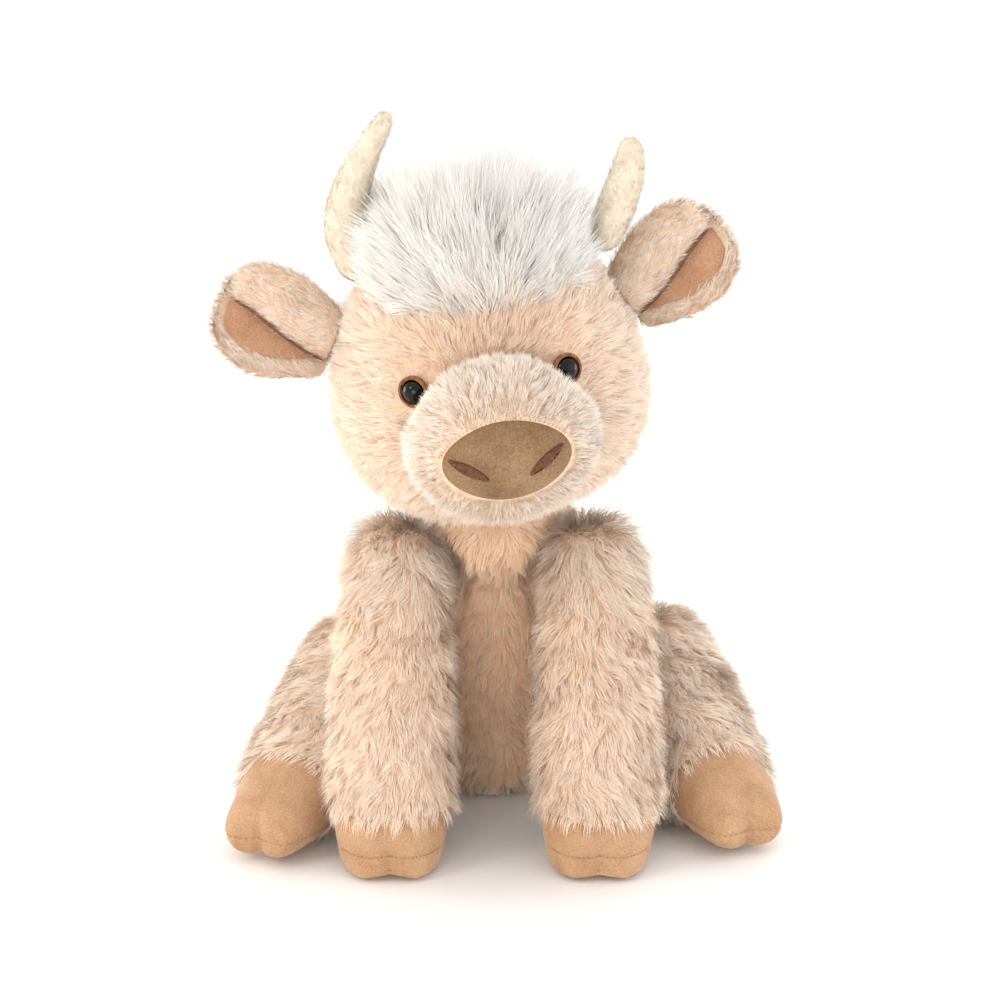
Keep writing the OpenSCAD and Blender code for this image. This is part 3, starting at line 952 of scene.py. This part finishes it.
def sole_stitches(kind, side, foot):
    """Small stitches along the seam round the front of a foot."""
    at, across, ahead = foot_frame(kind, side)
    tree = bvh_of([foot])
    reach = 30 if kind == "front" else 100
    paths = []
    for deg in np.arange(-62, 62.1, 4.4):
        way = across * math.sin(math.radians(deg)) + ahead * math.cos(math.radians(deg))
        centre = at + (ahead * 0.062 if kind == "hind" else 0)
        start = centre + way * reach * MM + np.array([0, 0, FOOT_SEAM * MM])
        hit, normal, _, _ = tree.ray_cast(Vector(start), Vector(-way))
        if hit is None:
            continue
        sideways = np.cross(way, [0, 0, 1.0])
        mid = np.array(hit) + np.array(normal) * 0.00012
        paths.append([mid - sideways * 0.0006, mid + np.array(normal) * 0.0001, mid + sideways * 0.0006])
    threads(f"{kind}_foot_{side}_stitches", paths, 0.16, SEWING, f"{kind}_leg_{side}")


for (kind, side), (sleeve, foot) in legs.items():
    sole_stitches(kind, side, foot)


# ---- Eyes ----


def gloss(name, colour, roughness, coat):
    m = new_material(name, rgb(colour), roughness)
    b = m.node_tree.nodes["Principled BSDF"]
    b.inputs["Specular IOR Level"].default_value = 0.3
    b.inputs["Coat Weight"].default_value = coat
    b.inputs["Coat Roughness"].default_value = 0.03
    return m


EYE_BLACK = gloss("eye_black", "#070504", 0.06, 0.0)
rough_by(EYE_BLACK, noise(EYE_BLACK, 260, 2.0), 0.03, 0.06)
EYE_BROWN = gloss("eye_brown", "#7A4A22", 0.3, 0.3)
ramp(EYE_BROWN, noise(EYE_BROWN, 500, 3.0), [(0.35, rgb("#5A3314")), (0.65, rgb("#96602F"))])
WASHER = gloss("washer_white", "#EFEFEA", 0.5, 0.0)
rough_by(WASHER, noise(WASHER, 800, 2.0), 0.45, 0.6)


def paint(node, material):
    o = NODES[node]
    for s in o.material_slots:
        s.material = material


for side in SIDES:
    paint(f"eye_{side}_dome", EYE_BLACK)
    paint(f"eye_{side}_stem", EYE_BLACK)
    paint(f"eye_{side}_rim", EYE_BROWN)
    paint(f"eye_{side}_washer", WASHER)
paint("neck_gusset", BODY_BACKING)

EYES = []
for s in SIDES.values():
    EYES.append(from_head([s * EYE_AT[0], EYE_AT[1] - 1, EYE_AT[2]]))


def eye_gap(p):
    """Distance from the middle of the nearer eye, in millimetres."""
    return np.min([np.linalg.norm(p - e, axis=1) for e in EYES], axis=0) / MM


# ---- Fur ----

solid = {"torso": torso, "head": head, "muzzle": muzzle, "nose": nose}
for (kind, side), (sleeve, foot) in legs.items():
    solid[f"{kind}_{side}"] = sleeve
    solid[f"{kind}_{side}_foot"] = foot
for side in SIDES:
    solid[f"ear_{side}"], solid[f"lining_{side}"], solid[f"fold_{side}"] = ears[side][:3]
    solid[f"horn_{side}"] = horns[side]


def others(*own):
    return bvh_of([o for name, o in solid.items() if name not in own])


def body_comb(p, n):
    way = np.zeros_like(p)
    way[:, 2] = -1
    way[:, 0] = np.sign(p[:, 0]) * 0.22
    way[:, 1] = np.where(n[:, 1] > 0.3, 0.15, 0)
    return way


def body_density(p, n):
    low = (p[:, 2] < 3 * MM) & (n[:, 2] < -0.4)
    return np.where(low, 0, DENSITY)


DENSITY = 3.0


def chest(p):
    """1 on the chest panel, whose pile is shorter and takes darker, pinker tones of painted shade, down to 0
    round the sides.
    """
    return np.clip((24 - np.abs(p[:, 0] / MM - MIDDLE[0])) / 6, 0, 1) * (p[:, 1] < -10 * MM)


def torso_length(p, n):
    return 9 + 4 * np.clip((p[:, 2] / MM - 85) / 30, 0, 1) * (1 - chest(p)) - 2.5 * chest(p)

for name, tones, seed, on_chest in (("torso_pile", BODY_TONES, 11, False),
                                    ("chest_shaded_pile", CHEST_SHADE_TONES, 12, True)):
    pile(name, torso, "torso", tones, seed=seed, length=torso_length, comb=body_comb,
         density=lambda p, n, here=on_chest: body_density(p, n) * ((chest(p) > 0.5) == here),
         clear_of=others("torso"))


def head_density(p, n):
    h = to_head(p)
    inside = ((h[:, 0] - MUZZLE_AT[0]) / 33) ** 2 + ((h[:, 2] - MUZZLE_AT[2]) / 27) ** 2 < 1
    buried = inside & (h[:, 1] < -35)
    return np.where(buried | (eye_gap(p) < 7.4), 0, DENSITY)


def head_length(p, n):
    gap = eye_gap(p)
    return 8.0 * np.clip((gap - 6.0) / 10, 0.18, 1)


def brow_shade(p):
    """1 between the eyes and under the forelock, where the pile takes darker, pinker tones of painted shade."""
    h = to_head(p)
    near = ((h[:, 0] + 1) / 30) ** 2 + ((h[:, 2] - 14) / 15) ** 2
    return np.clip(1.5 - near, 0, 1) * (h[:, 1] < -30)


def head_comb(p, n):
    h = to_head(p) - [1, -64, -14]
    way = unit(h) @ HEAD_R.T
    back = to_head(p)[:, 1] > 10
    way[back, 2] -= 0.9
    return way


# Painted shade: the pile between the eyes and under the forelock takes darker tones.
pile("head_pile", head, "head", BODY_TONES, seed=21, density=head_density, length=head_length,
     comb=head_comb, clear_of=others("head"),
     tint=lambda p: 0.9 * np.clip((to_head(p)[:, 2] - 16) / 12, 0, 1) - 1.2 * brow_shade(p))


def nose_gap(p):
    h = to_head(p)
    r = np.sqrt(((h[:, 0] - NOSE_AT[0]) / NOSE_HALF[0]) ** 2 + ((h[:, 2] - NOSE_AT[1]) / NOSE_HALF[1]) ** 2)
    return np.where(h[:, 1] < -60, r, 9)


# Painted shade: the muzzle's pile takes darker tones towards its underside.
pile("muzzle_pile", muzzle, "head", MUZZLE_TONES, seed=31,
     density=lambda p, n: np.where((nose_gap(p) < 1.0) | (eye_gap(p) < 9.5), 0, DENSITY * 1.3),
     length=lambda p, n: 5.6 * np.clip(nose_gap(p) - 0.35, 0.55, 1) * np.clip((eye_gap(p) - 7) / 12, 0.25, 1),
     comb=lambda p, n: (unit(to_head(p) - [1.5, -74, -21]) + [0, 0.35, 0]) @ HEAD_R.T,
     clear_of=others("muzzle", "nose", "head"), lay=(24, 56), tuft=3.6,
     tint=lambda p: -1.5 * np.clip((-20 - to_head(p)[:, 2]) / 20, 0, 1))


def leg_comb(kind, side):
    if kind == "front":
        return lambda p, n: np.column_stack([SIDES[side] * (0.12 + 0.5 * np.clip(n[:, 2], 0, 1)),
                                             -0.05 - 0.9 * np.clip(n[:, 2], 0, 1), np.full(len(p), -1.0)])
    toe = turn("Z", HIPS[side][2]) @ np.array([0, -1.0, 0])
    return lambda p, n: np.tile(toe * 0.75 + [SIDES[side] * 0.25, 0, -0.75], (len(p), 1))


def leg_length(p, n):
    """Longest on the shoulders, where the pile fills the gap under the head."""
    return 8.5 + 5 * np.clip((p[:, 2] / MM - 95) / 20, 0, 1)


# Painted light: the hind legs' pile takes paler tones for the light that wraps round them from behind, and every
# leg's top takes paler tones against the shade under the head.
for i, ((kind, side), (sleeve, foot)) in enumerate(legs.items()):
    own = f"{kind}_{side}"
    pile(f"{kind}_leg_{side}_pile", sleeve, f"{kind}_leg_{side}", BODY_TONES, seed=41 + 10 * i,
         density=body_density, length=leg_length, comb=leg_comb(kind, side),
         tint=lambda p, hind_lit=kind == "hind": 2.0 * hind_lit + 1.4 * np.clip((p[:, 2] / MM - 92) / 20, 0, 1),
         clear_of=others(own, own + "_foot"))


def forelock_density(p, n):
    h = to_head(p)
    top = ((h[:, 0] - 3) / 43) ** 2 + ((h[:, 1] + 12) / 44) ** 2 + ((h[:, 2] - 46) / 32) ** 2
    return np.where(top < 1, 3.4, 0) * np.clip(1.6 - top, 0.3, 1)


def forelock_comb(p, n):
    h = to_head(p)
    return unit(h - [1, -56, 6]) @ HEAD_R.T


def forelock_length(p, n):
    h = to_head(p)
    edge = np.clip((h[:, 2] - 14) / 32, 0.2, 1)
    towards_side = 4 * np.clip(np.abs(h[:, 0] - 3) / 45, 0, 1) ** 2
    towards_back = 6 * np.clip((h[:, 1] - 5) / 30, 0, 1)
    return edge * (30 - towards_side - towards_back)


pile("forelock_pile", head, "head", LONG_TONES, seed=91, density=forelock_density,
     length=forelock_length, comb=forelock_comb, clear_of=others("head"), lay=(26, 60), gather=0.3, tuft=7,
     width=0.26, ruffle=0.5, spread=13, wild=0.25, steps=5,
     tint=lambda p: -2.6 * np.clip(1 - (to_head(p)[:, 2] - 14) / 20, 0, 1),
     flat=lambda p: 24 * np.clip(to_head(p)[:, 1] / 18, 0, 1))
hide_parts("forelock")

for i, side in enumerate(SIDES):
    pile(f"horn_{side}_pile", horns[side], "head", HORN_TONES, seed=111 + i, density=even(6.5),
         length=even(1.7), comb=lambda p, n: np.tile(HEAD_R[:, 2], (len(p), 1)), width=0.2, tuft=2.4,
         lay=(45, 70), gather=0.2, clear_of=others(f"horn_{side}"))
    back, inner, flap, along = ears[side]
    for piece, o, seed in (("back", back, 121), ("fold", flap, 131)):
        pile(f"ear_{side}_{piece}_pile", o, f"ear_{side}", MUZZLE_TONES, seed=seed + i,
             density=even(2.8), length=even(4.4), comb=lambda p, n: np.tile(along, (len(p), 1)),
             clear_of=others(f"ear_{side}", f"fold_{side}"), tuft=3.5)
pile("tail_pile", tail_sleeve, "tail", BODY_TONES, seed=141, density=even(2.6), length=even(6.5),
     comb=body_comb, clear_of=others())
pile("tail_tuft_pile", tail_tuft, "tail", LONG_TONES, seed=151, density=even(3.0),
     length=even(15), comb=body_comb, clear_of=others(), steps=5, tuft=6, lay=(62, 78))


# ---- Floor ----


def make_floor():
    mesh = bpy.data.meshes.new("floor")
    half = 3.0
    corners = [(-half, -half, 0), (half, -half, 0), (half, half, 0), (-half, half, 0)]
    mesh.from_pydata(corners, [], [(0, 1, 2, 3)])
    m = new_material("floor", (0.93, 0.93, 0.93), 0.6)
    rough_by(m, noise(m, 40, 2.0), 0.55, 0.65)
    floor = link("floor", mesh, [m])
    floor.location.z = -0.0002


make_floor()
